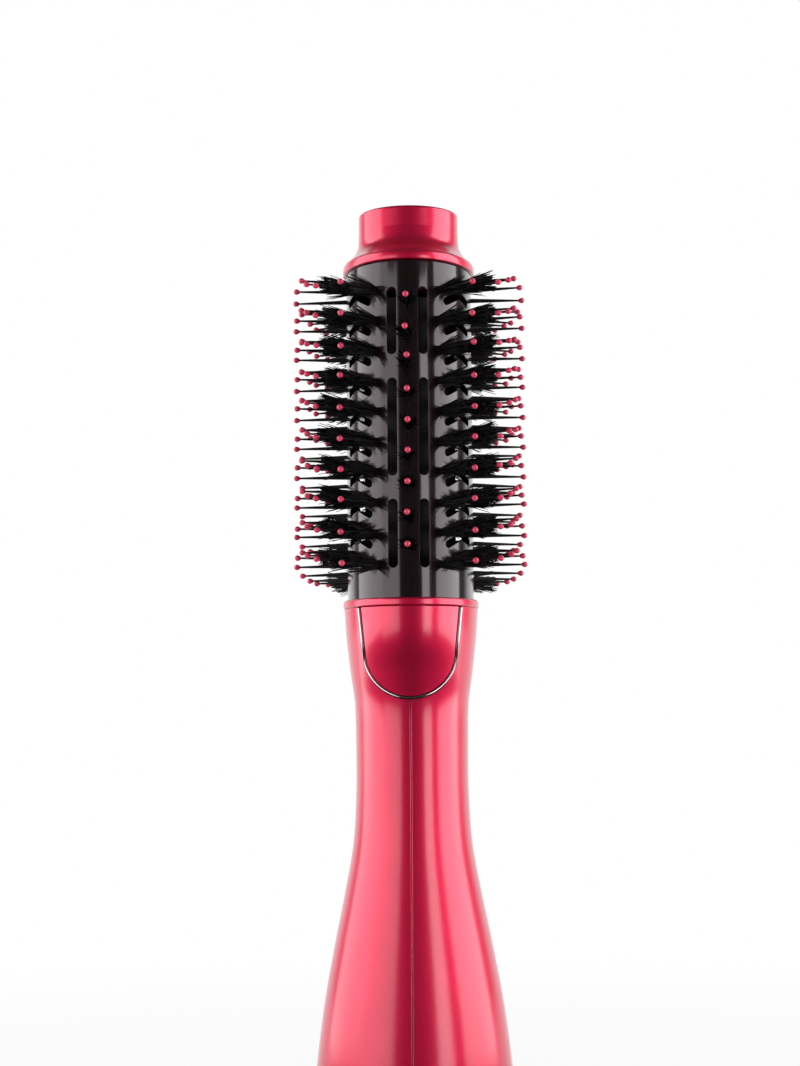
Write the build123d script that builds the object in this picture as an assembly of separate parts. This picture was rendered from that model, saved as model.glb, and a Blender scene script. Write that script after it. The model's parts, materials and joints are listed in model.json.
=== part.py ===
from build123d import *
import math
import os

# A hot air brush. An oval, slotted barrel carries pins and tufts and ends in a cool tip. The handle
# under it is two shells parted on the plane X = 0, with the fan, motor and heater inside.
# Frame: origin at the centre of the flat foot, +Z up the brush to its tip. The oval's narrow edge,
# with the slots, faces -Y (front) and +Y (back), and its broad faces look along -X and +X.
# All sizes are in millimetres.

# ---- heights, from the foot up
foot_height = 9.0
dial_height = 13.0
handle_length = 201.0
ring_height = 2.6
barrel_length = 104.0
collar_height = 3.3
tip_height = 20.0

# ---- barrel
barrel_half_x = 20.0
barrel_half_y = 28.0
barrel_wall = 2.4
slot_width = 3.0
slot_offset = 4.8
slot_spans = [(8.4, 29.4), (36.6, 66.8), (73.9, 95.0)]  # drops below the barrel's upper edge
vent_width = 2.0
# bends of a front and of a back vent: angle from the front edge, rise above the row
vent_paths = [
    [(37.0, -3.2), (53.0, -0.3), (66.0, -1.9)],
    [(143.0, -8.4), (127.0, -7.8), (114.0, -7.4)],
]

# ---- pins and tufts: angle round the oval from the front edge, rise above the row, tuft strands
pin_columns = [
    (30.0, 0.0, 2),
    (47.0, 1.2, 1),
    (56.5, 2.9, 2),
    (63.5, 4.5, 0),
    (75.0, 3.0, 0),
    (90.0, 1.2, 0),
    (105.0, -0.9, 0),
    (116.5, -2.5, 0),
    (123.5, -3.1, 2),
    (133.0, -3.2, 1),
    (150.0, -3.2, 2),
]
row_count = 10
row_pitch = 9.42
row_drop = 9.0
centre_count = 9
centre_pitch = 9.35
centre_drop = 14.1
pin_reach = 15.4
pin_thickness = 0.9
tip_radius = 1.0
tip_flat_angle = 40.0
tuft_reach = 11.5
tuft_thickness = 1.1
tuft_spread = 11.0
tuft_offset = 1.2
bed_thickness = 0.9
bed_end_drop = 3.2
side_bed_angles = (21.0, 159.0)
centre_bed_angle = 6.4

# ---- cool tip
knob_radius = 15.85
knob_straight = 6.2
knob_wall = 2.0
knob_floor = 1.4
knob_edge = 0.9
collar_lip = 1.0
collar_bevel = 1.15
flare_inset = (0.2, 0.6)  # how far the flare's foot stands in from the barrel, in X and in Y
# share of the flare's height, then of its spread in X and in Y
flare_shares = [(0, 1, 1), (0.13, 0.72, 0.72), (0.3, 0.4, 0.34), (0.55, 0.1, 0.09), (1, 0, 0)]
tip_spigot_depth = 7.0

# ---- handle: drop below its upper end, half width, half depth
neck_lip = 1.1
neck_lip_deep = 0.77
ring_overhang = 0.3
neck_stations = [
    (11.8, 20.2, 26.2),
    (20.4, 19.2, 23.7),
    (29.0, 18.0, 21.9),
    (39.0, 17.7, 21.0),
    (57.0, 17.7, 20.9),
    (73.0, 18.7, 21.8),
    (88.4, 21.4, 23.9),
    (104.0, 24.6, 26.6),
    (124.0, 28.2, 29.1),
    (146.0, 30.8, 31.0),
    (167.0, 31.6, 31.6),
    (186.0, 31.3, 31.3),
]
shell_foot_radius = 30.3
shell_wall = 2.6
shell_floor = 3.0
shell_floor_hole = 9.5
seam_gap = 0.16
station_spacing = 1.0  # least rise between two sections of the handle's form

# ---- inlay panels and their trims
inlay_half_width = 16.2
inlay_radius = 14.8
inlay_drop = 28.4
inlay_thickness = 1.2
trim_width = 1.0
trim_proud = 0.25
inlay_top_gap = 0.1

# ---- foot, dial and cord gland
foot_radius = 25.0
foot_flare_height = 3.6
foot_edge = (0.7, 0.5)  # outwards and upwards
foot_top_radius = 29.3
foot_floor = 3.2
spigot_radius = 24.0
spigot_wall = 2.2
dial_radius = 29.8
dial_edge = 0.5
dial_flute_count = 40
dial_flute_radius = 0.8
dial_flute_depth = 0.6
dial_flute_margin = 1.8
dial_turn = 90.0
dial_rest_angle = -135.0
lug_width = 5.0
lug_height = 4.0
lug_reach = 5.6
lug_clearance_angle = 2.0
lug_window_margin = 0.5
gland_radius = 7.0
gland_bore = 3.4
gland_flange_radius = 9.4
gland_flange_height = 2.2
gland_recess = 0.5
gland_boss_wall = 3.4
gland_groove_depth = 1.0
gland_end_height = 0.6
clip_radius = 8.6
clip_height = 1.2
clip_clearance = 0.05

# ---- fan and motor
duct_rise = 44.0
duct_length = 46.0
duct_radius = 21.0
duct_wall = 1.4
duct_rib_height = 2.0
impeller_rise = 4.0
impeller_height = 10.0
impeller_hub_radius = 7.0
impeller_hub_round = 2.5
hub_clearance = 0.01
blade_count = 7
blade_thickness = 1.2
blade_angle = 52.0
blade_gap = 0.7
blade_root = 1.5
blade_height_share = 0.9
motor_rise = 17.0
motor_radius = 13.9
motor_length = 33.0
motor_boss_radius = 5.0
motor_boss_height = 1.6
motor_bevel = 0.8
cup_wall = 1.6
vane_count = 6
vane_thickness = 1.4
vane_start_angle = 30.0
vane_end_gap = 3.0
shaft_radius = 1.15
shaft_depth = 24.0
shaft_clearance = 0.05

# ---- intake grilles and lint filter
window_width = 32.0
window_height = 26.0
window_rise = 28.0
window_corner = 5.0
grille_thickness = 1.4
grille_border = 2.2
grille_bar = 1.7
grille_slot = 1.7
filter_wall = 0.8

# ---- heater, from the barrel's lower end
liner_radius = 14.4
liner_wall = 0.6
liner_below = 32.0
liner_top_gap = 2.0
liner_hole_radius = 2.2
liner_hole_pitch = 9.0
liner_hole_angles = (45.0, 135.0)
mica_thickness = 0.8
mica_margin = 4.0
mica_length = 86.0
coil_wire = 0.8
coil_turns = 11
coil_pitch = 4.4
coil_start = 26.0
coil_half_width = 12.0
thermostat_size = (6.0, 3.6, 9.0)
fuse_radius = 1.6
fuse_length = 12.0
socket_half_x = 16.6
socket_half_y = 21.0
socket_below = 15.0
socket_above = 10.0

# ---- screws, board and switch
screw_radius = 1.4
screw_head_radius = 2.6
screw_head_height = 1.3
neck_boss_radius = 3.6
neck_screw_spacing = 8.0
neck_screw_drop = 8.4
neck_screw_length = 9.0
base_post_circle = 14.0
base_post_radius = 3.2
base_post_angles = (30.0, 150.0, 210.0, 330.0)
base_screw_end_gap = 0.4
board_thickness = 1.6
board_width = 19.0
board_depth = 16.0
diode_size = (2.4, 5.0, 2.2)
diode_pitch = 4.0
diode_count = 4
switch_inner_radius = 12.0
switch_span = 64.0
switch_height = 15.0
wiper_thickness = 0.5
wiper_width = 3.0
wiper_height = 3.2

# ---- clearances
thread_clearance = 0.05  # radial, between a screw and the hole that it bites in
running_clearance = 0.08  # radial, between a shaft or spigot and what turns on it
axial_gap = 0.2  # along the axis, between turning and fixed faces
fit_clearance = 0.15  # around a piece set into another
light_touch = 0.3  # between neighbours that only just clear each other
through = 60.0  # reach of a cutting tool past what it cuts
overcut = 1.0  # a shorter reach of the same kind
overlap = 1.0  # how far a form runs into another that it is fused to
wedge_reach = 1.8  # reach of a sector's cutting wedge, as a share of the radius
wedge_step = 20.0  # widest angle between two corners of that wedge

# ---- stack of heights that follow from the sizes above
dial_low = foot_height + axial_gap
dial_high = dial_low + dial_height
shell_low = dial_high + axial_gap
shell_high = shell_low + handle_length
barrel_floor = shell_high + ring_height / 2
ring_high = shell_high + ring_height
barrel_high = ring_high + barrel_length
collar_high = barrel_high + collar_height
tip_high = barrel_high + tip_height


# ---- helpers

def oval_point(angle):
    """Point of the barrel's oval at an angle from its front edge towards +X."""
    turn = math.radians(angle)
    return Vector(barrel_half_x * math.sin(turn), -barrel_half_y * math.cos(turn), 0)


def oval_normal(angle):
    """Outward direction of the barrel's oval at that angle."""
    turn = math.radians(angle)
    return Vector(
        math.sin(turn) / barrel_half_x, -math.cos(turn) / barrel_half_y, 0
    ).normalized()


def oval_prism(half_x, half_y, low, high):
    """Upright prism of oval section between two heights."""
    return extrude(Plane.XY.offset(low) * Ellipse(half_x, half_y), amount=high - low)


def tube(radius, bore, low, high):
    """Round tube about the brush axis between two heights."""
    ring = Plane.XY.offset(low) * (Circle(radius) - Circle(bore))
    return extrude(ring, amount=high - low)


def rod(radius, low, high):
    """Round rod about the brush axis between two heights."""
    return extrude(Plane.XY.offset(low) * Circle(radius), amount=high - low)


def polar(radius, angle, height=0.0):
    """Place at a radius, angle and height about the brush axis."""
    turn = math.radians(angle)
    return Pos(radius * math.cos(turn), radius * math.sin(turn), height)


def slab(low, high):
    """Wide flat block between two heights."""
    middle = (low + high) / 2
    return Pos(0, 0, middle) * Box(2 * through, 2 * through, high - low)


def group(pieces):
    """Several separate solids kept in one node."""
    return Compound([piece.solid() for piece in pieces])


# ---- handle form

def handle_stations():
    """Heights, half widths and half depths that the handle's form passes through, upwards."""
    top = (shell_high, barrel_half_x + neck_lip, barrel_half_y + neck_lip_deep)
    middle = [(shell_high - drop, half_x, half_y) for drop, half_x, half_y in neck_stations]
    foot = (shell_low, shell_foot_radius, shell_foot_radius)
    return [foot] + middle[::-1] + [top]


def handle_half_widths(height):
    """Half width and half depth of the handle at a height, between its stations."""
    stations = handle_stations()
    for lower, upper in zip(stations, stations[1:]):
        if height <= upper[0]:
            share = (height - lower[0]) / (upper[0] - lower[0])
            return tuple(lower[i] + share * (upper[i] - lower[i]) for i in (1, 2))
    return stations[-1][1:]


def handle_form(inset, low=shell_low):
    """Solid of the handle's outer form drawn in by inset, from a height up to its upper end."""
    kept = [station for station in handle_stations() if station[0] > low + station_spacing]
    half_x, half_y = handle_half_widths(low)
    sections = [
        Plane.XY.offset(height) * Ellipse(wide - inset, deep - inset)
        for height, wide, deep in [(low, half_x, half_y)] + kept
    ]
    return loft(sections)


def u_outline(grow):
    """Flat U-shaped outline of the inlay in the front plane, grown at its sides and foot."""
    top = shell_high + overcut
    centre = shell_high - inlay_drop + inlay_radius
    radius = inlay_radius + grow
    lean = inlay_half_width + grow
    path = (
        Line((-lean, top), (-radius, centre))
        + ThreePointArc((-radius, centre), (0, centre - radius), (radius, centre))
        + Line((radius, centre), (lean, top))
        + Line((lean, top), (-lean, top))
    )
    return Plane.XZ * make_face(path)


def u_prism(grow, side):
    """The U outline carried through the handle's front (side 1) or back (side -1) wall."""
    return extrude(u_outline(grow), amount=through * side)


def window_prism(shrink, side):
    """Rounded window carried through the handle's wall on the +X or -X side."""
    outline = Plane.YZ * Pos(0, shell_low + window_rise) * RectangleRounded(
        window_width - 2 * shrink, window_height - 2 * shrink, window_corner - shrink
    )
    return extrude(outline, amount=through * side)


# ---- barrel and its bristles

def bed_sector(start, end, grow):
    """Upright slice of the barrel's skin between two angles, grown by a clearance."""
    spread = math.degrees(grow / barrel_half_x)
    first, last = start - spread, end + spread
    steps = max(2, round((last - first) / wedge_step))
    rim = [oval_point(first + (last - first) * i / steps) * wedge_reach for i in range(steps + 1)]
    wedge = make_face(Polyline((0, 0), *[(point.X, point.Y) for point in rim], (0, 0)))
    depth = bed_thickness + grow
    skin = Ellipse(barrel_half_x, barrel_half_y) - Ellipse(
        barrel_half_x - depth, barrel_half_y - depth
    )
    low = ring_high + bed_end_drop - grow
    high = barrel_high - bed_end_drop + grow
    return extrude(Plane.XY.offset(low) * (skin & wedge), amount=high - low)


bed_spans = {
    "right": side_bed_angles,
    "left": (360 - side_bed_angles[1], 360 - side_bed_angles[0]),
    "front": (-centre_bed_angle, centre_bed_angle),
    "back": (180 - centre_bed_angle, 180 + centre_bed_angle),
}


def mirrored(shape, bed):
    """The left bed's shape from the right bed's, or the back bed's from the front bed's."""
    return mirror(shape, Plane.YZ if bed == "right" else Plane.XZ)


def pin_places(bed):
    """Angle, height and tuft strands of each pin on a bed."""
    if bed == "front":
        drops = [centre_drop + centre_pitch * i for i in range(centre_count)]
        return [(0.0, barrel_high - drop, 2) for drop in drops]
    places = []
    for angle, rise, strands in pin_columns:
        for i in range(row_count):
            places.append((angle, barrel_high - row_drop - row_pitch * i + rise, strands))
    return places


def strand(angle, height, lean, reach, thickness, sides):
    """One straight strand that starts inside the bed and leans up or down by an angle."""
    out = oval_normal(angle)
    tilt = math.radians(lean)
    direction = out * math.cos(tilt) + Vector(0, 0, 1) * math.sin(tilt)
    root = oval_point(angle) - out * (bed_thickness / 2) + Vector(0, 0, height)
    plane = Plane(origin=root, x_dir=out.cross(Vector(0, 0, 1)), z_dir=direction)
    section = RegularPolygon(thickness / 2, sides, rotation=180 / sides)
    return extrude(plane * section, amount=reach + bed_thickness / 2)


def bristle_bed(bed):
    """A bed with its pins and tufts fused to it."""
    strands = []
    for angle, height, tuft_strands in pin_places(bed):
        strands.append(strand(angle, height, 0, pin_reach, pin_thickness, 4))
        for k in range(tuft_strands):
            side = -1 if k else 1
            strands.append(
                strand(
                    angle,
                    height + side * tuft_offset,
                    side * tuft_spread,
                    tuft_reach,
                    tuft_thickness,
                    3,
                )
            )
    slice_of_skin = bed_sector(*bed_spans[bed], 0)
    if bed == "right":
        slice_of_skin -= vent_tools(1)
    return slice_of_skin.fuse(*strands)


def pin_tips(bed):
    """Ball tips of a bed's pins, each flat where it meets its pin's end."""
    sink = tip_radius * math.sin(math.radians(tip_flat_angle))
    tips = []
    for angle, height, _ in pin_places(bed):
        out = oval_normal(angle)
        end = oval_point(angle) + out * pin_reach + Vector(0, 0, height)
        plane = Plane(origin=end + out * sink, x_dir=Vector(0, 0, 1), z_dir=out)
        ball = Sphere(tip_radius, arc_size1=-tip_flat_angle, align=None)
        tips.append(plane.location * ball)
    return group(tips)


def vent_arm(first, last, height):
    """One straight arm of a vent between two points of its path, with round ends."""
    (angle_a, rise_a), (angle_b, rise_b) = first, last
    start = oval_point(angle_a) + Vector(0, 0, height + rise_a)
    end = oval_point(angle_b) + Vector(0, 0, height + rise_b)
    middle = (start + end) * 0.5
    out = oval_normal((angle_a + angle_b) / 2)
    plane = Plane(origin=middle - out * 2 * barrel_wall, x_dir=end - start, z_dir=out)
    outline = plane * SlotCenterToCenter((end - start).length, vent_width)
    return extrude(outline, amount=4 * barrel_wall)


def vent_tools(side):
    """Cutting tools of the vents on the barrel's +X (side 1) or -X (side -1) half."""
    tools = []
    for i in range(row_count - 1):
        height = barrel_high - row_drop - row_pitch * i
        for path in vent_paths:
            bends = [(side * angle, rise) for angle, rise in path]
            tools += [vent_arm(a, b, height) for a, b in zip(bends, bends[1:])]
    return tools


def slot_tools():
    """Cutting tools of the long air slots, through the front and the back wall."""
    tools = []
    for start, end in slot_spans:
        for side in (1, -1):
            outline = Plane.XZ * Pos(side * slot_offset, barrel_high - (start + end) / 2) * (
                SlotOverall(end - start, slot_width, rotation=90)
            )
            tools.append(extrude(outline, amount=through, both=True))
    return tools


def make_barrel():
    outer = oval_prism(barrel_half_x, barrel_half_y, barrel_floor, barrel_high)
    inner = oval_prism(
        barrel_half_x - barrel_wall, barrel_half_y - barrel_wall, barrel_floor, barrel_high
    )
    pockets = [bed_sector(*span, fit_clearance / 2) for span in bed_spans.values()]
    return outer - inner - pockets - (vent_tools(1) + vent_tools(-1) + slot_tools())


# ---- tip

def make_tip_collar():
    low = oval_prism(
        barrel_half_x + collar_lip, barrel_half_y + collar_lip, barrel_high, collar_high
    )
    rim = low.faces().sort_by(Axis.Z)[-1].edges()
    ring = chamfer(rim, collar_bevel)
    opening = oval_prism(
        barrel_half_x - barrel_wall, barrel_half_y - barrel_wall, barrel_high, collar_high
    )
    return ring - opening


def flare_sections(inset):
    """Ovals that carry the knob's round grip out to the collar."""
    span = tip_height - knob_straight - collar_height
    foot_x, foot_y = barrel_half_x - flare_inset[0], barrel_half_y - flare_inset[1]
    sections = []
    for up, out_x, out_y in flare_shares:
        half_x = knob_radius + (foot_x - knob_radius) * out_x
        half_y = knob_radius + (foot_y - knob_radius) * out_y
        section = Ellipse(half_x - inset, half_y - inset)
        sections.append(Plane.XY.offset(collar_high + up * span) * section)
    return sections


def make_cool_tip():
    grip_low = tip_high - knob_straight
    grip = rod(knob_radius, grip_low, tip_high)
    grip = fillet(grip.faces().sort_by(Axis.Z)[-1].edges(), knob_edge)
    outside = grip + loft(flare_sections(0))
    inside = loft(flare_sections(knob_wall)) + rod(
        knob_radius - knob_wall, grip_low, tip_high - knob_wall
    )
    inside -= slab(barrel_high, collar_high + knob_floor)
    fit = barrel_wall + fit_clearance
    spigot_low = barrel_high - tip_spigot_depth
    spigot = oval_prism(barrel_half_x - fit, barrel_half_y - fit, spigot_low, collar_high)
    bore = fit + knob_wall
    core = oval_prism(
        barrel_half_x - bore, barrel_half_y - bore, spigot_low, collar_high + knob_floor
    )
    return outside + spigot - inside - (core - rod(through, collar_high, collar_high + knob_floor))


# ---- neck

def make_neck_ring():
    lip = neck_lip + ring_overhang
    outer = oval_prism(barrel_half_x + lip, barrel_half_y + lip, shell_high, ring_high)
    seat = oval_prism(
        barrel_half_x + fit_clearance, barrel_half_y + fit_clearance, barrel_floor, ring_high
    )
    opening = oval_prism(
        socket_half_x + fit_clearance, socket_half_y + fit_clearance, shell_high, ring_high
    )
    return outer - seat - opening


def neck_screw_tools(radius, depth_from, depth_to):
    """Rods along Y at the four neck screws, between two depths from the axis."""
    tools = []
    for side in (1, -1):
        for x in (neck_screw_spacing / 2, -neck_screw_spacing / 2):
            middle = Pos(x, -side * (depth_from + depth_to) / 2, shell_high - neck_screw_drop)
            tools.append(middle * Rot(90, 0, 0) * Cylinder(radius, depth_to - depth_from))
    return tools


def neck_head_depth():
    """Depth from the axis of the outer face of the neck screws' heads, under the inlay."""
    half_x, half_y = handle_half_widths(shell_high - neck_screw_drop - screw_head_radius)
    edge = (neck_screw_spacing / 2 + screw_head_radius) / half_x
    return (half_y - inlay_thickness) * math.sqrt(1 - edge**2) - light_touch


def make_neck_screws():
    outer = neck_head_depth()
    head = outer - screw_head_height
    heads = neck_screw_tools(screw_head_radius, head, outer)
    shanks = neck_screw_tools(screw_radius, outer - neck_screw_length, head)
    return group([h + s for h, s in zip(heads, shanks)])


def make_barrel_socket():
    fit = barrel_wall + fit_clearance
    body = oval_prism(socket_half_x, socket_half_y, shell_high - socket_below, barrel_floor)
    body += oval_prism(
        barrel_half_x - fit, barrel_half_y - fit, barrel_floor, barrel_floor + socket_above
    )
    body -= rod(liner_radius + fit_clearance, shell_high - through, barrel_high)
    return body - neck_screw_tools(screw_radius + thread_clearance, 0, through)


def above_inlay():
    return slab(shell_high - inlay_top_gap, shell_high + through)


def make_inlay(side):
    patch = u_prism(-trim_width - fit_clearance / 2, side) & handle_form(0)
    return patch - handle_form(inlay_thickness) - above_inlay()


def make_trim(side):
    band = u_prism(0, side) - u_prism(-trim_width, side)
    band = band & handle_form(-trim_proud)
    return band - handle_form(inlay_thickness) - above_inlay()


# ---- handle shells

def rib_slabs():
    """Blocks at the heights of the two ribs that hold the fan duct."""
    low = shell_low + duct_rise
    high = low + duct_length
    return [slab(low, low + duct_rib_height), slab(high - duct_rib_height, high)]


def make_shell():
    """Both handle shells in one, before they are parted."""
    cavity = handle_form(shell_wall, shell_low + shell_floor) - rib_slabs()
    duct_high = shell_low + duct_rise + duct_length
    boss_inner = socket_half_y + fit_clearance
    bosses = neck_screw_tools(neck_boss_radius, boss_inner, through)
    cavity -= [boss & handle_form(0) for boss in bosses]
    body = handle_form(0) - cavity
    body -= rod(duct_radius + fit_clearance, shell_low + shell_floor, duct_high)
    body -= rod(shell_floor_hole, shell_low, shell_low + shell_floor)
    for side in (1, -1):
        pocket = u_prism(fit_clearance / 2, side) & handle_form(-overcut)
        body -= pocket - handle_form(inlay_thickness + fit_clearance / 2)
        rebate = window_prism(0, side) & handle_form(-overcut)
        body -= rebate - handle_form(grille_thickness + fit_clearance)
        body -= window_prism(grille_border, side)
    outer = neck_head_depth()
    body -= neck_screw_tools(screw_head_radius + fit_clearance, outer - screw_head_height, through)
    body -= neck_screw_tools(screw_radius + fit_clearance, shell_wall, through)
    return body - base_screw_tools(screw_radius + thread_clearance, 0, shell_low + shell_floor)


def shell_half(body, side):
    """The half of the handle on the +X or -X side of the seam."""
    keep = Pos(side * (through + seam_gap / 2), 0, 0) * Box(2 * through, 4 * through, 8 * through)
    return body & keep


def make_grille(side):
    """Slotted plate set into a window of the shell."""
    plate = (window_prism(fit_clearance, side) & handle_form(0)) - handle_form(grille_thickness)
    field = window_width - 2 * grille_border - 2 * grille_bar
    pitch = grille_bar + grille_slot
    count = int((field + grille_bar) // pitch)
    length = window_height - 2 * grille_border - 2 * grille_bar
    tools = []
    for i in range(count):
        y = (i - (count - 1) / 2) * pitch
        outline = Plane.YZ * Pos(y, shell_low + window_rise) * SlotOverall(
            length, grille_slot, rotation=90
        )
        tools.append(extrude(outline, amount=through * side))
    return plate - tools


def make_lint_filter():
    low = shell_low + shell_floor
    high = shell_low + duct_rise
    foot_x, _ = handle_half_widths(low)
    head_x, _ = handle_half_widths(high)
    radius = min(foot_x, head_x) - shell_wall - light_touch
    return tube(radius, radius - filter_wall, low, high)


# ---- fan and motor

duct_low = shell_low + duct_rise
motor_low = duct_low + motor_rise
motor_high = motor_low + motor_length


def make_fan_duct():
    bore = duct_radius - duct_wall
    body = tube(duct_radius, bore, duct_low, duct_low + duct_length)
    cup_low = motor_low + motor_boss_height
    cup_high = duct_low + duct_length
    cup_bore = motor_radius + fit_clearance
    cup = tube(cup_bore + cup_wall, cup_bore, cup_low, cup_high)
    vanes = []
    reach = bore - cup_bore - cup_wall + overlap
    for i in range(vane_count):
        vane = Box(reach, vane_thickness, cup_high - cup_low - 2 * vane_end_gap)
        angle = vane_start_angle + 360 / vane_count * i
        place = polar((bore + cup_bore + cup_wall) / 2, angle)
        turn = Rot(0, 0, angle)
        vanes.append(place * Pos(0, 0, (cup_low + cup_high) / 2) * turn * vane)
    return body.fuse(cup, *vanes)


def make_motor():
    can = rod(motor_radius, motor_low + motor_boss_height, motor_high)
    can = chamfer(can.edges().filter_by(GeomType.CIRCLE), motor_bevel)
    can += rod(motor_boss_radius, motor_low, motor_low + motor_boss_height + overlap)
    return can - rod(shaft_radius + shaft_clearance, motor_low - overcut, motor_low + shaft_depth)


def make_motor_shaft():
    return rod(shaft_radius, duct_low + impeller_rise, motor_low + shaft_depth - axial_gap)


def make_impeller():
    low = duct_low + impeller_rise
    hub = rod(impeller_hub_radius, low, low + impeller_height)
    hub = fillet(hub.faces().sort_by(Axis.Z)[0].edges(), impeller_hub_round)
    span = duct_radius - duct_wall - blade_gap - impeller_hub_radius + blade_root
    blades = []
    for i in range(blade_count):
        turn = Rot(0, 0, 360 / blade_count * i)
        pitch = Rot(blade_angle, 0, 0)
        middle = impeller_hub_radius - blade_root + span / 2
        blade = Box(span, impeller_height * blade_height_share, blade_thickness)
        place = Pos(0, 0, low + impeller_height / 2) * turn * Pos(middle, 0, 0)
        blades.append(place * pitch * blade)
    sweep_limit = rod(duct_radius - duct_wall - blade_gap, low, low + impeller_height)
    wheel = hub.fuse(*blades) & sweep_limit
    return wheel - rod(shaft_radius + hub_clearance, low - overcut, low + impeller_height + overcut)


def make_rectifier_board():
    low = motor_high + light_touch
    return Pos(0, 0, low + board_thickness / 2) * Box(board_width, board_depth, board_thickness)


def make_diodes():
    low = motor_high + light_touch + board_thickness
    places = [(i - (diode_count - 1) / 2) * diode_pitch for i in range(diode_count)]
    return group([Pos(x, 0, low + diode_size[2] / 2) * Box(*diode_size) for x in places])


# ---- heater

liner_low = barrel_floor - liner_below
liner_high = barrel_high - tip_spigot_depth - liner_top_gap
mica_low = liner_low + mica_margin
mica_high = mica_low + mica_length


def make_heater_liner():
    """Thin tube round the heater, drilled above it to let the air out towards the slots."""
    body = tube(liner_radius, liner_radius - liner_wall, liner_low, liner_high)
    holes = []
    height = liner_high - liner_hole_pitch
    while height > mica_high:
        for angle in liner_hole_angles:
            hole = Cylinder(liner_hole_radius, 3 * liner_radius)
            holes.append(Pos(0, 0, height) * Rot(0, 0, angle) * Rot(0, 90, 0) * hole)
        height -= liner_hole_pitch
    return body - holes


def make_mica_frame():
    half = liner_radius - liner_wall - fit_clearance
    middle = Pos(0, 0, (mica_low + mica_high) / 2)
    plate = Box(2 * half, mica_thickness, mica_length)
    cross = middle * plate + middle * Rot(0, 0, 90) * plate
    return (cross & rod(half, mica_low, mica_high)) - coil_notches()


def coil_corner(index):
    """Corner of the winding on a mica arm: each turns a quarter and climbs a quarter pitch."""
    return polar(coil_half_width, 90 * index, liner_low + coil_start + coil_pitch * index / 4)


def coil_notches():
    """Notches in the edges of the mica arms, in which the winding's corners lie."""
    depth = coil_wire + mica_thickness / 2 + fit_clearance
    reach = liner_radius - coil_half_width + depth
    notches = []
    for i in range(4 * coil_turns + 1):
        cut = Box(reach, 2 * mica_thickness, coil_wire + 2 * fit_clearance)
        place = Pos(coil_half_width - depth + reach / 2, 0, coil_corner(i).position.Z)
        notches.append(Rot(0, 0, 90 * i) * place * cut)
    return notches


def make_heater_coil():
    """One unbroken wire wound squarely over the mica frame's four arms."""
    runs = []
    for i in range(4 * coil_turns):
        start = coil_corner(i).position
        end = coil_corner(i + 1).position
        along = (end - start).normalized()
        plane = Plane(origin=start - along * coil_wire / 2, z_dir=along, x_dir=(0, 0, 1))
        length = (end - start).length + coil_wire
        runs.append(extrude(plane * Rectangle(coil_wire, coil_wire), amount=length))
    return runs[0].fuse(*runs[1:])


def make_thermostat():
    width, depth, height = thermostat_size
    clear = mica_thickness / 2
    place = Pos(clear + width / 2, clear + depth / 2, mica_low + height / 2)
    return place * Box(width, depth, height)


def make_thermal_fuse():
    offset = mica_thickness / 2 + light_touch / 3 + fuse_radius
    place = Pos(-offset, -offset, mica_low + fuse_length / 2)
    return place * Cylinder(fuse_radius, fuse_length)


# ---- foot, dial and gland

gland_boss_radius = gland_radius + running_clearance + gland_boss_wall
recess_height = gland_recess + gland_flange_height + axial_gap


def base_screw_tools(radius, low, high):
    """Rods along Z at the base screws."""
    middle = (low + high) / 2
    return [
        polar(base_post_circle, angle, middle) * Cylinder(radius, high - low)
        for angle in base_post_angles
    ]


def make_base_screws():
    low = screw_head_height
    heads = base_screw_tools(screw_head_radius, low, 2 * screw_head_height)
    high = shell_low + shell_floor - base_screw_end_gap
    shanks = base_screw_tools(screw_radius, 2 * screw_head_height, high)
    return group([h + s for h, s in zip(heads, shanks)])


def make_base_cap():
    profile = Polyline(
        (0, 0),
        (foot_radius, 0),
        (foot_radius + foot_edge[0], foot_edge[1]),
        (foot_top_radius, foot_flare_height),
        (foot_top_radius, foot_height),
        (0, foot_height),
        (0, 0),
    )
    body = revolve(Plane.XZ * make_face(profile), Axis.Z)
    body -= rod(spigot_radius - spigot_wall, foot_floor, foot_height)
    body += tube(spigot_radius, spigot_radius - spigot_wall, foot_height - overlap, shell_low)
    body += rod(gland_boss_radius, 0, foot_height)
    body = body.fuse(*base_screw_tools(base_post_radius, overlap, shell_low))
    body -= rod(gland_radius + running_clearance, -overcut, foot_height + overcut)
    body -= rod(gland_flange_radius + running_clearance, 0, recess_height)
    body -= base_screw_tools(screw_head_radius + fit_clearance, 0, 2 * screw_head_height)
    body -= base_screw_tools(screw_radius + fit_clearance, 0, shell_low)
    return body - lug_window()


def sector(inner, outer, first, last, low, high):
    """Ring sector between two radii, two angles and two heights."""
    steps = max(2, round((last - first) / wedge_step))
    angles = [first + (last - first) * i / steps for i in range(steps + 1)]
    rim = [polar(outer * wedge_reach, a).position for a in angles]
    wedge = make_face(Polyline((0, 0), *[(p.X, p.Y) for p in rim], (0, 0)))
    ring = Circle(outer) - Circle(inner)
    return extrude(Plane.XY.offset(low) * (ring & wedge), amount=high - low)


def lug_half_angle():
    """Half of the angle that the dial's lug takes up at the spigot's bore."""
    return math.degrees(math.asin(lug_width / 2 / (spigot_radius - spigot_wall)))


lug_low = dial_low + (dial_height - lug_height) / 2


def lug_window():
    """Notch in the spigot in which the dial's lug travels between its stops."""
    margin = lug_half_angle() + lug_clearance_angle
    first = dial_rest_angle - margin
    last = dial_rest_angle + dial_turn + margin
    inner = spigot_radius - spigot_wall - lug_window_margin
    outer = spigot_radius + lug_window_margin
    low = lug_low - lug_window_margin
    return sector(inner, outer, first, last, low, shell_low + overcut)


def lug_inner_radius():
    return spigot_radius - lug_reach


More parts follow.
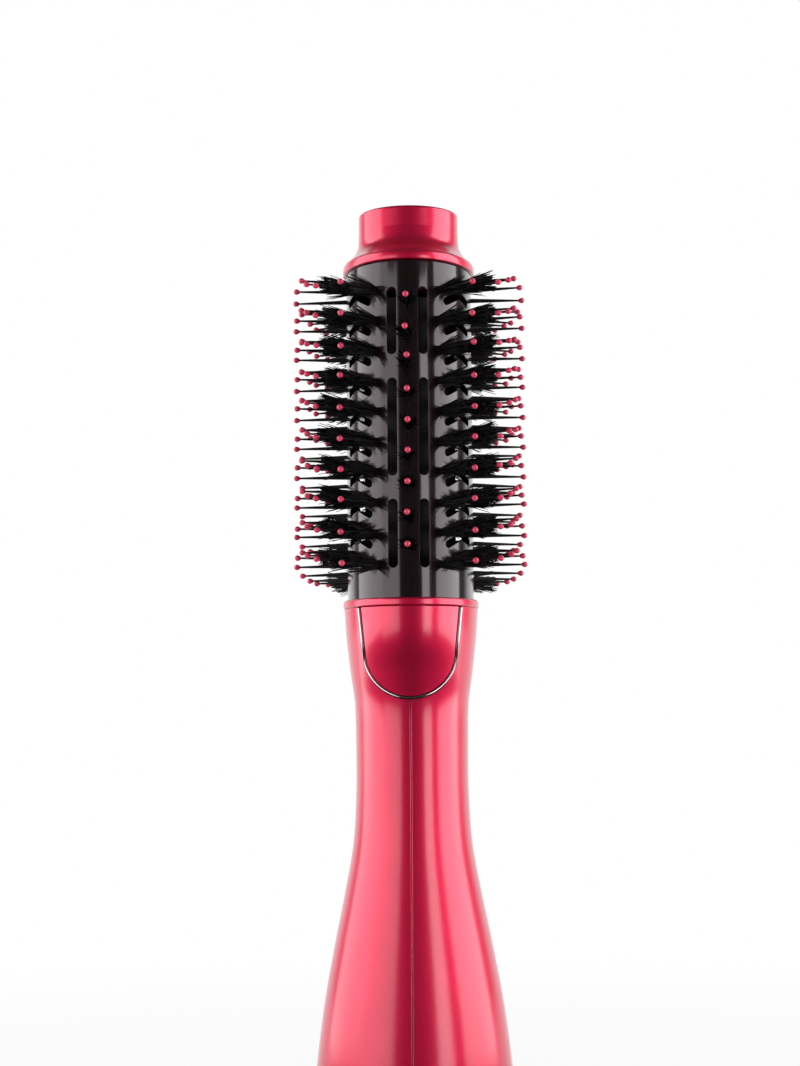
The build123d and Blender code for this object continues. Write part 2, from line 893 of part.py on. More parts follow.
def make_control_dial():
    bore = spigot_radius + running_clearance
    ring = tube(dial_radius, bore, dial_low, dial_high)
    rims = ring.edges().filter_by(GeomType.CIRCLE).group_by(SortBy.RADIUS)[-1]
    ring = chamfer(rims, dial_edge)
    flutes = []
    height = dial_height - 2 * dial_flute_margin
    circle = dial_radius + dial_flute_radius - dial_flute_depth
    for i in range(1, dial_flute_count):
        place = polar(circle, dial_rest_angle + 360 / dial_flute_count * i)
        middle = Pos(0, 0, (dial_low + dial_high) / 2)
        flutes.append(place * middle * Cylinder(dial_flute_radius, height))
    lug_length = bore - lug_inner_radius() + overlap
    lug = Box(lug_length, lug_width, lug_height)
    middle = lug_inner_radius() + lug_length / 2
    lug = Rot(0, 0, dial_rest_angle) * Pos(middle, 0, lug_low + lug_height / 2) * lug
    return ring - flutes + lug


def make_wiper():
    """Leaf contact on the lug's inner face, reaching towards the switch body."""
    middle = Pos(lug_inner_radius() - wiper_thickness / 2, 0, lug_low + lug_height / 2)
    leaf = Box(wiper_thickness, wiper_width, wiper_height)
    return Rot(0, 0, dial_rest_angle) * middle * leaf


def make_switch_body():
    outer = lug_inner_radius() - wiper_thickness - light_touch
    middle = dial_rest_angle + dial_turn / 2
    first, last = middle - switch_span / 2, middle + switch_span / 2
    low = foot_floor
    return sector(switch_inner_radius, outer, first, last, low, low + switch_height)


def make_cord_gland():
    low = gland_recess
    high = foot_height + axial_gap + clip_height + gland_end_height
    body = rod(gland_radius, low, high) + rod(
        gland_flange_radius, low, low + gland_flange_height
    )
    groove_high = high - gland_end_height
    groove = tube(
        gland_radius + overcut,
        gland_radius - gland_groove_depth,
        groove_high - clip_height,
        groove_high,
    )
    return body - groove - rod(gland_bore, low - overcut, high + overcut)


def make_gland_clip():
    high = foot_height + axial_gap + clip_height
    bore = gland_radius - gland_groove_depth + clip_clearance
    ring = tube(clip_radius, bore, high - clip_height + clip_clearance, high - clip_clearance)
    mouth = Pos(clip_radius, 0, high) * Box(2 * clip_radius, gland_radius, 4 * clip_height)
    return ring - mouth


# ---- writing

def write(name, shape):
    export_step(shape, f"parts/{name}.step")


def main():
    os.makedirs("parts", exist_ok=True)
    write("barrel", make_barrel())
    for bed, other in (("right", "left"), ("front", "back")):
        bristles, tips = bristle_bed(bed), pin_tips(bed)
        write(f"bristles_{bed}", bristles)
        write(f"bristles_{other}", mirrored(bristles, bed))
        write(f"pin_tips_{bed}", tips)
        write(f"pin_tips_{other}", mirrored(tips, bed))
    write("tip_collar", make_tip_collar())
    write("cool_tip", make_cool_tip())
    write("neck_ring", make_neck_ring())
    write("barrel_socket", make_barrel_socket())
    write("neck_screws", make_neck_screws())
    write("front_inlay", make_inlay(1))
    write("back_inlay", make_inlay(-1))
    write("front_trim", make_trim(1))
    write("back_trim", make_trim(-1))
    body = make_shell()
    write("right_shell", shell_half(body, 1))
    write("left_shell", shell_half(body, -1))
    write("right_grille", make_grille(1))
    write("left_grille", make_grille(-1))
    write("lint_filter", make_lint_filter())
    write("fan_duct", make_fan_duct())
    write("motor", make_motor())
    write("motor_shaft", make_motor_shaft())
    write("impeller", make_impeller())
    write("rectifier_board", make_rectifier_board())
    write("rectifier_diodes", make_diodes())
    write("heater_liner", make_heater_liner())
    write("mica_frame", make_mica_frame())
    write("heater_coil", make_heater_coil())
    write("thermostat", make_thermostat())
    write("thermal_fuse", make_thermal_fuse())
    write("base_cap", make_base_cap())
    write("base_screws", make_base_screws())
    write("control_dial", make_control_dial())
    write("dial_wiper", make_wiper())
    write("switch_body", make_switch_body())
    write("cord_gland", make_cord_gland())
    write("gland_clip", make_gland_clip())


main()
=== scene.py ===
import json
import math
import random

import bmesh
import bpy
from mathutils import Matrix, Vector


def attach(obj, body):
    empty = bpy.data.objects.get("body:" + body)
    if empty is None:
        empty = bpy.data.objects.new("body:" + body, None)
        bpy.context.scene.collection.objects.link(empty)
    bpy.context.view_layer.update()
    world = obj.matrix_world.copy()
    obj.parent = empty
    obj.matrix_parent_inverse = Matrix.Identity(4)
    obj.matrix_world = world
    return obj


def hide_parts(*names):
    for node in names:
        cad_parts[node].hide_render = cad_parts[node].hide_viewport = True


# A hot air brush: slotted oval barrel with pins and tufts, cool tip, two-shell handle and a dial.
# Everything is in metres. The front of the brush faces -Y and the foot stands on Z = 0.

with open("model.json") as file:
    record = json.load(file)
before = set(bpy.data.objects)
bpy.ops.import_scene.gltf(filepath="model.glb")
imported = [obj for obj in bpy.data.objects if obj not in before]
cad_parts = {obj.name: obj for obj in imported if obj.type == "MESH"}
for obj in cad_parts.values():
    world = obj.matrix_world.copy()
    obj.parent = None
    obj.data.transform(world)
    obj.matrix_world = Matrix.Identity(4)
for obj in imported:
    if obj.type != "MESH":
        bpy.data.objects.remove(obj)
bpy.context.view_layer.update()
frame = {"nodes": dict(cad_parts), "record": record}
nodes = frame["nodes"]
print("frame loaded:", len(nodes), "nodes")


# --- hand tools

def choose(*pieces):  # only these are selected, and the last one is active
    bpy.ops.object.select_all(action="DESELECT")
    for piece in pieces:
        piece.select_set(True)
    bpy.context.view_layer.objects.active = pieces[-1]


def settle(piece, name):  # the piece's place goes into its mesh
    choose(piece)
    bpy.ops.object.transform_apply(location=True, rotation=True, scale=True)
    piece.name = name
    piece.data.name = name
    return piece


def openMesh(piece):
    choose(piece)
    bpy.ops.object.mode_set(mode="EDIT")


def closeMesh():
    bpy.ops.object.mode_set(mode="OBJECT")


def pickPoints(piece, test):  # in edit mode, by place
    bpy.ops.mesh.select_mode(type="VERT")
    mesh = bmesh.from_edit_mesh(piece.data)
    for point in mesh.verts:
        point.select_set(test(point.co))
    mesh.select_flush_mode()
    bmesh.update_edit_mesh(piece.data)


def pickEdges(piece, test):
    bpy.ops.mesh.select_mode(type="EDGE")
    mesh = bmesh.from_edit_mesh(piece.data)
    for edge in mesh.edges:
        edge.select_set(test(*(point.co for point in edge.verts)))
    bmesh.update_edit_mesh(piece.data)


def tidyMesh(piece, merge=1e-6):  # merged, and with its faces turned outwards
    openMesh(piece)
    bpy.ops.mesh.select_all(action="SELECT")
    bpy.ops.mesh.remove_doubles(threshold=merge)
    bpy.ops.mesh.normals_make_consistent(inside=False)
    closeMesh()


def smooth(piece, angle=32):
    choose(piece)
    bpy.ops.object.shade_smooth_by_angle(angle=math.radians(angle))


def applyModifiers(piece):
    choose(piece)
    for modifier in list(piece.modifiers):
        bpy.ops.object.modifier_apply(modifier=modifier.name)


def smoothForm(piece, angle=32):  # smooth, while the large faces keep their own direction
    smooth(piece, angle)
    modifier = piece.modifiers.new("weigh", "WEIGHTED_NORMAL")
    modifier.keep_sharp = True
    applyModifiers(piece)


def carve(piece, cutter, how="DIFFERENCE"):
    modifier = piece.modifiers.new("carve", "BOOLEAN")
    modifier.operation = how
    modifier.solver = "EXACT"
    modifier.object = cutter
    applyModifiers(piece)


def discard(*pieces):
    for piece in pieces:
        bpy.data.objects.remove(piece)


def softenEdges(piece, width, angle=35, segments=2):
    modifier = piece.modifiers.new("soften", "BEVEL")
    modifier.width = width
    modifier.segments = segments
    modifier.limit_method = "ANGLE"
    modifier.angle_limit = math.radians(angle)
    modifier.use_clamp_overlap = True
    applyModifiers(piece)


def cutAway(piece, place, keepSide):  # all that lies behind a plane goes, and the cut is closed
    openMesh(piece)
    bpy.ops.mesh.select_all(action="SELECT")
    bpy.ops.mesh.bisect(
        plane_co=place,
        plane_no=Vector(keepSide).normalized(),
        use_fill=True,
        clear_inner=True,
        threshold=1e-7,
    )
    closeMesh()


def paint(piece, material):
    piece.data.materials.clear()
    piece.data.materials.append(material)
    return piece


def twinOf(piece, name):
    twin = piece.copy()
    twin.data = piece.data.copy()
    twin.name = name
    bpy.context.collection.objects.link(twin)
    return twin


def joinAs(name, pieces):
    choose(*pieces)
    if len(pieces) > 1:
        bpy.ops.object.join()
    return settle(bpy.context.object, name)


def plantCopies(source, places, name):  # one copy at each place, all in one mesh
    copies = []
    for place in places:
        copy = twinOf(source, name)
        copy.matrix_basis = place
        copies.append(copy)
    return joinAs(name, copies)


def raiseOval(name, levels, sides, closed=False):
    # an oval drawn at the first level and extruded through the rest, each level being
    # (height, half width, half depth); a closed one is a band that ends where it began
    height, halfX, halfY = levels[0]
    bpy.ops.object.select_all(action="DESELECT")
    fill = "NOTHING" if closed else "NGON"
    bpy.ops.mesh.primitive_circle_add(
        vertices=sides, radius=1, fill_type=fill, location=(0, 0, height)
    )
    piece = settle(bpy.context.object, name)
    openMesh(piece)
    bpy.ops.transform.resize(value=(halfX, halfY, 1), center_override=(0, 0, height))
    for (lowZ, lowX, lowY), (highZ, highX, highY) in zip(levels, levels[1:]):
        bpy.ops.mesh.extrude_region_move(TRANSFORM_OT_translate={"value": (0, 0, highZ - lowZ)})
        bpy.ops.transform.resize(
            value=(highX / lowX, highY / lowY, 1), center_override=(0, 0, highZ)
        )
    closeMesh()
    tidyMesh(piece)
    return piece


def facing(out, along):  # turn that points Z outwards and Y along
    out = out.normalized()
    along = (along - out * along.dot(out)).normalized()
    return Matrix((along.cross(out), along, out)).transposed().to_euler()


def stretchedRod(start, end, out, radius, depth, sides):
    # a rod that points outwards, with its far half moved along to the end: a rounded slot's cutter
    bpy.ops.object.select_all(action="DESELECT")
    along = end - start
    bpy.ops.mesh.primitive_cylinder_add(
        vertices=sides, radius=radius, depth=depth, location=start, rotation=facing(out, along)
    )
    rod = settle(bpy.context.object, "slotCutter")
    openMesh(rod)
    pickPoints(rod, lambda co: (co - start).dot(along) > 0)
    bpy.ops.transform.translate(value=along)
    closeMesh()
    return rod


# --- finishes

def newFinish(name, color, roughness, **sockets):  # a socket's spaces are written as underscores
    finish = bpy.data.materials.new(name)
    finish.use_nodes = True
    shader = finish.node_tree.nodes["Principled BSDF"]
    shader.inputs["Base Color"].default_value = (*color, 1)
    shader.inputs["Roughness"].default_value = roughness
    for socket, value in sockets.items():
        shader.inputs[socket.replace("_", " ")].default_value = value
    finish.diffuse_color = (*color, 1)
    return finish


def addNode(finish, kind, **values):
    node = finish.node_tree.nodes.new(kind)
    for name, value in values.items():
        if name in node.inputs:
            node.inputs[name].default_value = value
        else:
            setattr(node, name, value)
    return node


def addNoise(finish, scale, detail=3.0, stretch=(1, 1, 1)):
    # noise in the piece's own space, so that it stays put on the piece
    links = finish.node_tree.links
    place = addNode(finish, "ShaderNodeTexCoord")
    spread = addNode(finish, "ShaderNodeMapping", Scale=stretch)
    noise = addNode(finish, "ShaderNodeTexNoise", Scale=scale, Detail=detail)
    links.new(place.outputs["Object"], spread.inputs["Vector"])
    links.new(spread.outputs["Vector"], noise.inputs["Vector"])
    return noise.outputs["Fac"]


def addRamp(finish, source, *stops):
    ramp = addNode(finish, "ShaderNodeValToRGB")
    finish.node_tree.links.new(source, ramp.inputs["Fac"])
    elements = ramp.color_ramp.elements
    while len(elements) < len(stops):
        elements.new(0.5)
    for element, (position, color) in zip(elements, stops):
        element.position = position
        element.color = (*color, 1) if isinstance(color, tuple) else (color, color, color, 1)
    return ramp.outputs["Color"]


def feed(finish, source, socket):
    shader = finish.node_tree.nodes["Principled BSDF"]
    finish.node_tree.links.new(source, shader.inputs[socket])


def addBump(finish, source, strength, distance):
    bump = addNode(finish, "ShaderNodeBump", Strength=strength, Distance=distance)
    finish.node_tree.links.new(source, bump.inputs["Height"])
    feed(finish, bump.outputs["Normal"], "Normal")


def makeLacquer(name, pale, deep):
    # metal flake under clear lacquer
    lacquer = newFinish(
        name, pale, 0.5, Metallic=0.85, Coat_Weight=1.0, Coat_Roughness=0.19, Coat_IOR=1.6
    )
    flakes = addNoise(lacquer, scale=5200, detail=1.0)
    feed(lacquer, addRamp(lacquer, flakes, (0.36, deep), (0.64, pale)), "Base Color")
    addBump(lacquer, flakes, strength=0.22, distance=0.00006)
    wear = addNoise(lacquer, scale=55, detail=4.0)
    feed(lacquer, addRamp(lacquer, wear, (0.3, 0.46), (0.7, 0.54)), "Roughness")
    return lacquer


def makeMoulding(name, color, roughness, grain=1400, depth=0.00004, **sockets):
    # moulded plastic with a fine surface grain
    moulding = newFinish(name, color, roughness, **sockets)
    addBump(moulding, addNoise(moulding, grain), strength=0.5, distance=depth)
    mottle = addNoise(moulding, scale=90)
    lift = tuple(1.25 * part for part in color)
    feed(moulding, addRamp(moulding, mottle, (0.35, color), (0.65, lift)), "Base Color")
    spread = addRamp(moulding, mottle, (0.3, roughness * 0.85), (0.7, roughness * 1.15))
    feed(moulding, spread, "Roughness")
    return moulding


def makeMetal(name, color, roughness):
    # drawn or turned metal with fine lines round it
    metal = newFinish(name, color, roughness, Metallic=1.0)
    lines = addNoise(metal, scale=900, detail=2.0, stretch=(1, 1, 14))
    feed(metal, addRamp(metal, lines, (0.3, roughness * 0.7), (0.7, roughness * 1.3)), "Roughness")
    addBump(metal, lines, strength=0.15, distance=0.00002)
    return metal


def tune(finish, socket, value):
    finish.node_tree.nodes["Principled BSDF"].inputs[socket].default_value = value


raspberryLacquer = makeLacquer("raspberryLacquer", (0.76, 0.004, 0.07), (0.64, 0.002, 0.05))
glossBlack = newFinish(
    "glossBlack",
    (0.006, 0.003, 0.0035),
    0.2,
    Specular_IOR_Level=0.3,
    Coat_Weight=0.85,
    Coat_Roughness=0.08,
)
tune(glossBlack, "Specular Tint", (1, 0.7, 0.8, 1))
addBump(glossBlack, addNoise(glossBlack, scale=240, detail=2.0), strength=0.06, distance=0.0001)
blackNylon = makeMoulding(
    "blackNylon", (0.006, 0.005, 0.006), 0.5, grain=2600, depth=0.00002, Specular_IOR_Level=0.25
)
pinkTip = makeMoulding(
    "pinkTip", (0.5, 0.035, 0.085), 0.14, grain=900, depth=0.00002, Subsurface_Weight=0.15
)
tune(pinkTip, "Subsurface Radius", (0.001, 0.0004, 0.0005))
brightTrim = makeMetal("brightTrim", (0.56, 0.54, 0.54), 0.14)
satinBlack = makeMoulding("satinBlack", (0.016, 0.015, 0.017), 0.42)
darkMoulding = makeMoulding("darkMoulding", (0.03, 0.03, 0.032), 0.55)
steel = makeMetal("steel", (0.56, 0.55, 0.53), 0.28)
circuitBoard = makeMoulding("circuitBoard", (0.01, 0.09, 0.03), 0.45)
mica = makeMoulding("mica", (0.55, 0.48, 0.33), 0.4, grain=600)
resistanceWire = makeMetal("resistanceWire", (0.45, 0.4, 0.36), 0.4)
contactBrass = makeMetal("contactBrass", (0.72, 0.5, 0.2), 0.3)
silverPrint = makeMoulding("silverPrint", (0.6, 0.58, 0.58), 0.4)
# painted shade: a near-black finish for the pale mica heater liner, standing in for the shade
# inside the barrel seen through the slots
paintedShadeLiner = makeMoulding("paintedShadeLiner", (0.008, 0.007, 0.007), 0.6, grain=700, depth=0.00006)

slotFinishes = {
    "raspberry_lacquer": raspberryLacquer,
    "gloss_black": glossBlack,
    "black_nylon": blackNylon,
    "pink_tip": pinkTip,
    "bright_trim": brightTrim,
    "satin_black": satinBlack,
    "dark_moulding": darkMoulding,
    "steel": steel,
    "circuit_board": circuitBoard,
    "mica": mica,
    "resistance_wire": resistanceWire,
    "contact_brass": contactBrass,
}


def addPiece(piece, slotName, body, *replaced):
    paint(piece, slotFinishes[slotName])
    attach(piece, body)
    if replaced:
        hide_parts(*replaced)


for entry in frame["record"]["subparts"]:
    paint(nodes[entry["node"]], slotFinishes[entry["material_slot"]])
# painted shade: the mica liner is made near black so that the inside of the barrel reads as shade
paint(nodes["heater_liner"], paintedShadeLiner)  # seen black through the slots
print("finishes made")


# --- barrel

barrelForm = {
    "halfX": 0.020,
    "halfY": 0.028,
    "wall": 0.0024,
    "floor": 0.2247,
    "top": 0.330,
    "edge": 0.0005,
    "sides": 240,
    "slotWidth": 0.003,
    "slotOffset": 0.0048,
    "slotDrops": [(0.0084, 0.0294), (0.0366, 0.0668), (0.0739, 0.0950)],  # below the top
    "slotReach": 0.08,
    "slotSides": 30,
    "ventWidth": 0.0025,
    "ventReach": 0.011,
    "ventSides": 22,
    "rim": 0.00045,
    "weld": 0.00003,
}

# bends of a front and of a back vent: angle round the oval from its front, rise above the row
ventBends = [
    [(37.0, -0.0032), (53.0, -0.0003), (66.0, -0.0019)],
    [(143.0, -0.0084), (127.0, -0.0078), (114.0, -0.0074)],
]
rowForm = {
    "top": 0.321,
    "pitch": 0.00942,
    "count": 10,
    "centreTop": 0.3159,
    "centrePitch": 0.00935,
    "centreCount": 9,
}
rowHeights = [rowForm["top"] - rowForm["pitch"] * i for i in range(rowForm["count"])]


def ovalPoint(angle, height=0.0):  # on the barrel, at an angle round it from its front
    turn = math.radians(angle)
    halfX, halfY = barrelForm["halfX"], barrelForm["halfY"]
    return Vector((halfX * math.sin(turn), -halfY * math.cos(turn), height))


def ovalOut(angle):  # straight out of the barrel there
    turn = math.radians(angle)
    halfX, halfY = barrelForm["halfX"], barrelForm["halfY"]
    return Vector((math.sin(turn) / halfX, -math.cos(turn) / halfY, 0)).normalized()


def makeVentCutters(arm):  # the first or the second arm of every vent
    radius, reach = barrelForm["ventWidth"] / 2, barrelForm["ventReach"]
    sides = barrelForm["ventSides"]
    cutters = []
    for side in (1, -1):
        for bends in ventBends:
            (angleA, riseA), (angleB, riseB) = bends[arm], bends[arm + 1]
            out = ovalOut(side * (angleA + angleB) / 2)
            start, end = ovalPoint(side * angleA, riseA), ovalPoint(side * angleB, riseB)
            end = end - out * (end - start).dot(out)
            for height in rowHeights[:-1]:
                lift = Vector((0, 0, height))
                cutters.append(stretchedRod(start + lift, end + lift, out, radius, reach, sides))
    return joinAs("ventCutter", cutters)


def makeSlotCutters():  # each goes through the front and the back
    radius, reach = barrelForm["slotWidth"] / 2, barrelForm["slotReach"]
    sides = barrelForm["slotSides"]
    cutters = []
    for first, last in barrelForm["slotDrops"]:
        for x in (barrelForm["slotOffset"], -barrelForm["slotOffset"]):
            start = Vector((x, 0, barrelForm["top"] - last + radius))
            end = Vector((x, 0, barrelForm["top"] - first - radius))
            cutters.append(stretchedRod(start, end, Vector((0, -1, 0)), radius, reach, sides))
    return joinAs("slotCutter", cutters)


ventCutters = [makeVentCutters(0), makeVentCutters(1)]
slotCutter = makeSlotCutters()


def makeBarrel():
    halfX, halfY, edge = barrelForm["halfX"], barrelForm["halfY"], barrelForm["edge"]
    inX, inY = halfX - barrelForm["wall"], halfY - barrelForm["wall"]
    floor, top = barrelForm["floor"], barrelForm["top"]
    levels = [
        (floor, halfX, halfY),
        (top - edge, halfX, halfY),
        (top - edge * 0.3, halfX - edge * 0.3, halfY - edge * 0.3),
        (top, halfX - edge, halfY - edge),
        (top, inX, inY),
        (floor, inX, inY),
        (floor, halfX, halfY),
    ]
    barrel = raiseOval("barrelShell", levels, barrelForm["sides"], closed=True)
    carve(barrel, slotCutter)
    for cutter in ventCutters:
        carve(barrel, cutter)
    tidyMesh(barrel, barrelForm["weld"])
    softenEdges(barrel, barrelForm["rim"], angle=40, segments=3)
    smoothForm(barrel, angle=40)
    return barrel


barrel = makeBarrel()
addPiece(barrel, "gloss_black", "brush", "barrel")
print("barrel made")


# --- bristles

pinForm = {
    "reach": 0.0154,
    "sunk": 0.0008,
    "footRadius": 0.0005,
    "footSpread": 1.5,
    "neckRadius": 0.00028,
    "sides": 8,
    "tipRadius": 0.00093,
    "tipRise": 0.8,  # its middle over the pin's end, as a share of its radius
    "tipSleeve": (0.9, 0.9, 1.25),  # how its lower half is drawn down over the pin
    "lean": 1.4,
    "seed": 11,
}
tuftForm = {
    "reach": 0.0118,
    "hairs": 96,
    "clumps": 13,
    "hairRadius": 0.00015,
    "mouth": 0.00125,
    "spread": 10.5,
    "stray": 3.4,
    "clumpTall": (0.84, 1.04),
    "clumpTurn": 0.5,
    "clumpWide": 0.16,
    "hairTall": (0.95, 1.03),
    "hairBends": ((0.55, 0.0, 0.95), (0.45, 0.03, 0.75)),  # shares of length, sway, width kept
    "variants": 4,
    "seed": 23,
}

# columns of the side beds: angle round the oval from its front, rise above the row, tufted or bare
pinColumns = [
    (30.0, 0.0, True),
    (47.0, 0.0012, True),
    (56.5, 0.0029, True),
    (63.5, 0.0045, False),
    (75.0, 0.0030, False),
    (90.0, 0.0012, False),
    (105.0, -0.0009, False),
    (116.5, -0.0025, False),
    (123.5, -0.0031, True),
    (133.0, -0.0032, True),
    (150.0, -0.0032, True),
]
bedForm = {"low": 0.2292, "high": 0.3268, "thickness": 0.0009, "proud": 0.00003, "sides": 240}
bedSpans = {"Right": (21, 159), "Left": (201, 339), "Front": (-6.4, 6.4), "Back": (173.6, 186.4)}


def makePin():
    bpy.ops.object.select_all(action="DESELECT")
    bpy.ops.mesh.primitive_cone_add(
        vertices=pinForm["sides"],
        radius1=pinForm["footRadius"],
        radius2=pinForm["neckRadius"],
        depth=pinForm["reach"] + pinForm["sunk"],
        location=(0, 0, (pinForm["reach"] - pinForm["sunk"]) / 2),
    )
    pin = settle(bpy.context.object, "pin")
    openMesh(pin)
    pickPoints(pin, lambda co: co.z < 0)
    spread = pinForm["footSpread"]
    bpy.ops.transform.resize(value=(spread, spread, 1), center_override=(0, 0, 0))
    closeMesh()
    smooth(pin, angle=50)
    return paint(pin, blackNylon)


def makePinTip():
    radius = pinForm["tipRadius"]
    middle = (0, 0, pinForm["reach"] + radius * pinForm["tipRise"])
    bpy.ops.object.select_all(action="DESELECT")
    bpy.ops.mesh.primitive_uv_sphere_add(segments=12, ring_count=8, radius=radius, location=middle)
    tip = settle(bpy.context.object, "pinTip")
    openMesh(tip)
    pickPoints(tip, lambda co: co.z < middle[2] - radius * 0.1)
    bpy.ops.transform.resize(value=pinForm["tipSleeve"], center_override=middle)
    closeMesh()
    smooth(tip, angle=60)
    return paint(tip, pinkTip)


def makeHair():
    bpy.ops.object.select_all(action="DESELECT")
    bpy.ops.mesh.primitive_circle_add(vertices=3, radius=tuftForm["hairRadius"], fill_type="NGON")
    hair = settle(bpy.context.object, "hair")
    openMesh(hair)
    reach = tuftForm["reach"]
    for step, sway, narrow in tuftForm["hairBends"]:
        bend = (reach * sway, 0, reach * step)
        bpy.ops.mesh.extrude_region_move(TRANSFORM_OT_translate={"value": bend})
        bpy.ops.transform.resize(value=(narrow, narrow, 1))
    bpy.ops.mesh.select_all(action="SELECT")
    bpy.ops.mesh.normals_make_consistent(inside=False)
    closeMesh()
    return paint(hair, blackNylon)


def makeTuft(hair, seed):
    # hairs stand in clumps, which fan out from the mouth of the tuft's hole
    chance = random.Random(seed)
    turn, wide = tuftForm["clumpTurn"], tuftForm["clumpWide"]
    clumps = []
    for _ in range(tuftForm["clumps"]):
        around, far = chance.uniform(0, 2 * math.pi), math.sqrt(chance.random())
        clumps.append((around, far, chance.uniform(*tuftForm["clumpTall"])))
    places = []
    for index in range(tuftForm["hairs"]):
        around, far, tall = clumps[index % len(clumps)]
        around += chance.uniform(-turn, turn)
        far = min(max(far + chance.uniform(-wide, wide), 0), 1)
        root = Vector((math.cos(around), math.sin(around), 0)) * tuftForm["mouth"] * far
        tilt = math.radians(tuftForm["spread"] * far + chance.uniform(-1, 1) * tuftForm["stray"])
        lean = Matrix.Rotation(tilt, 4, Vector((-math.sin(around), math.cos(around), 0)))
        spin = Matrix.Rotation(chance.uniform(0, 2 * math.pi), 4, "Z")
        length = Matrix.Diagonal((1, 1, tall * chance.uniform(*tuftForm["hairTall"]), 1))
        places.append(Matrix.Translation(root) @ lean @ spin @ length)
    return plantCopies(hair, places, "tuft")


def pinStations(bed):  # angle, height, tufted
    if bed in ("Front", "Back"):
        angle = 0.0 if bed == "Front" else 180.0
        top, pitch = rowForm["centreTop"], rowForm["centrePitch"]
        return [(angle, top - pitch * i, True) for i in range(rowForm["centreCount"])]
    side = 1 if bed == "Right" else -1
    return [
        (side * angle, height + rise, tufted)
        for angle, rise, tufted in pinColumns
        for height in rowHeights
    ]


def standing(angle, height, sideways, upwards):  # on the barrel, Z outwards, leaning a little
    rest = facing(ovalOut(angle), Vector((0, 0, 1))).to_matrix().to_4x4()
    leanY = Matrix.Rotation(math.radians(sideways), 4, "Y")
    leanX = Matrix.Rotation(math.radians(upwards), 4, "X")
    return Matrix.Translation(ovalPoint(angle, height)) @ rest @ (leanY @ leanX)


def makeBed(bed):
    # a strip let into the barrel, cut from an oval band by two upright planes through the axis
    halfX, halfY = barrelForm["halfX"], barrelForm["halfY"]
    proud, thickness = bedForm["proud"], bedForm["thickness"]
    outer, inner = (halfX + proud, halfY + proud), (halfX - thickness, halfY - thickness)
    low, high = bedForm["low"], bedForm["high"]
    levels = [(low, *outer), (high, *outer), (high, *inner), (low, *inner), (low, *outer)]
    strip = raiseOval("bed" + bed, levels, bedForm["sides"], closed=True)
    if bed in ("Right", "Left"):
        for cutter in ventCutters:
            carve(strip, cutter)
    for angle, sign in zip(bedSpans[bed], (1, -1)):
        edge = ovalPoint(angle)
        cutAway(strip, (0, 0, 0), (-sign * edge.y, sign * edge.x, 0))
    tidyMesh(strip)
    smoothForm(strip, angle=25)
    return strip


pin, pinTip, hair = makePin(), makePinTip(), makeHair()
tufts = [makeTuft(hair, tuftForm["seed"] + i) for i in range(tuftForm["variants"])]


def makeBristles(bed):
    chance = random.Random(pinForm["seed"] + len(bed))
    pinPlaces, tuftPlaces = [], [[] for _ in tufts]
    for angle, height, tufted in pinStations(bed):
        lean = pinForm["lean"]
        place = standing(angle, height, chance.uniform(-lean, lean), chance.uniform(-lean, lean))
        pinPlaces.append(place)
        if tufted:
            spin = Matrix.Rotation(chance.uniform(0, 2 * math.pi), 4, "Z")
            tuftPlaces[chance.randrange(len(tufts))].append(place @ spin)
    parts = [plantCopies(pin, pinPlaces, "pins" + bed)]
    for tuft, places in zip(tufts, tuftPlaces):
        if places:
            parts.append(plantCopies(tuft, places, "tufts" + bed))
    bristles = joinAs("bristles" + bed, parts)
    tips = plantCopies(pinTip, pinPlaces, "pinTips" + bed)
    return bristles, tips


for bed in bedSpans:
    bristles, tips = makeBristles(bed)
    addPiece(bristles, "black_nylon", "brush", "bristles_" + bed.lower())
    addPiece(tips, "pink_tip", "brush", "pin_tips_" + bed.lower())
    addPiece(makeBed(bed), "gloss_black", "brush", "bristles_" + bed.lower())
discard(pin, pinTip, hair, slotCutter, *tufts, *ventCutters)
print("bristles made")


# --- cool tip and its collar

tipForm = {
    "collarLow": 0.330,
    "collarHigh": 0.3333,
    "collarX": 0.021,
    "collarY": 0.029,
    # share of the collar's height, then how many bevels it stands in
    "collarBevel": 0.001,
    "collarShape": [
        (0, 0.35),
        (0.06, 0.12),
        (0.18, 0),
        (0.5, 0),
        (0.72, 0.15),
        (0.9, 0.5),
        (1, 1.05),
    ],
    "gripRadius": 0.01585,
    "gripLow": 0.3438,
    "top": 0.350,
    "edge": 0.0009,
    # how far the dish's ring stands in from the grip, then its share of the dish's depth
    "dish": 0.0006,
    "dishShape": [
        (0.0022, 0),
        (0.0026, 0.2),
        (0.0031, 0.8),
        (0.0036, 1),
        (0.008, 0.9),
        (0.0125, 0.85),
    ],
    "sides": 192,
    # share of the flare's height, then of its spread in X and in Y
    "flare": [(0, 1, 1), (0.13, 0.72, 0.72), (0.3, 0.4, 0.34), (0.55, 0.1, 0.09), (1, 0, 0)],
    "flareInset": (0.0002, 0.0006),
    "flareSteps": 22,
}


def throughPoints(points, count):  # even steps along a soft curve through the points
    def between(index, share):
        near = [min(max(index + k, 0), len(points) - 1) for k in (-1, 0, 1, 2)]
        before, first, last, after = (points[i] for i in near)
        mixed = []
        for a, b, c, d in zip(before, first, last, after):
            span = last[0] - first[0]
            rise1 = (c - a) / max(last[0] - before[0], 1e-9) * span
            rise2 = (d - b) / max(after[0] - first[0], 1e-9) * span
            s = share
            mixed.append(
                (2 * s**3 - 3 * s**2 + 1) * b + (s**3 - 2 * s**2 + s) * rise1
                + (3 * s**2 - 2 * s**3) * c + (s**3 - s**2) * rise2
            )
        return tuple(mixed)

    low, high = points[0][0], points[-1][0]
    found = []
    for step in range(count + 1):
        height = low + (high - low) * step / count
        index = max(i for i in range(len(points) - 1) if points[i][0] <= height + 1e-12)
        share = (height - points[index][0]) / (points[index + 1][0] - points[index][0])
        found.append(between(index, share))
    return found


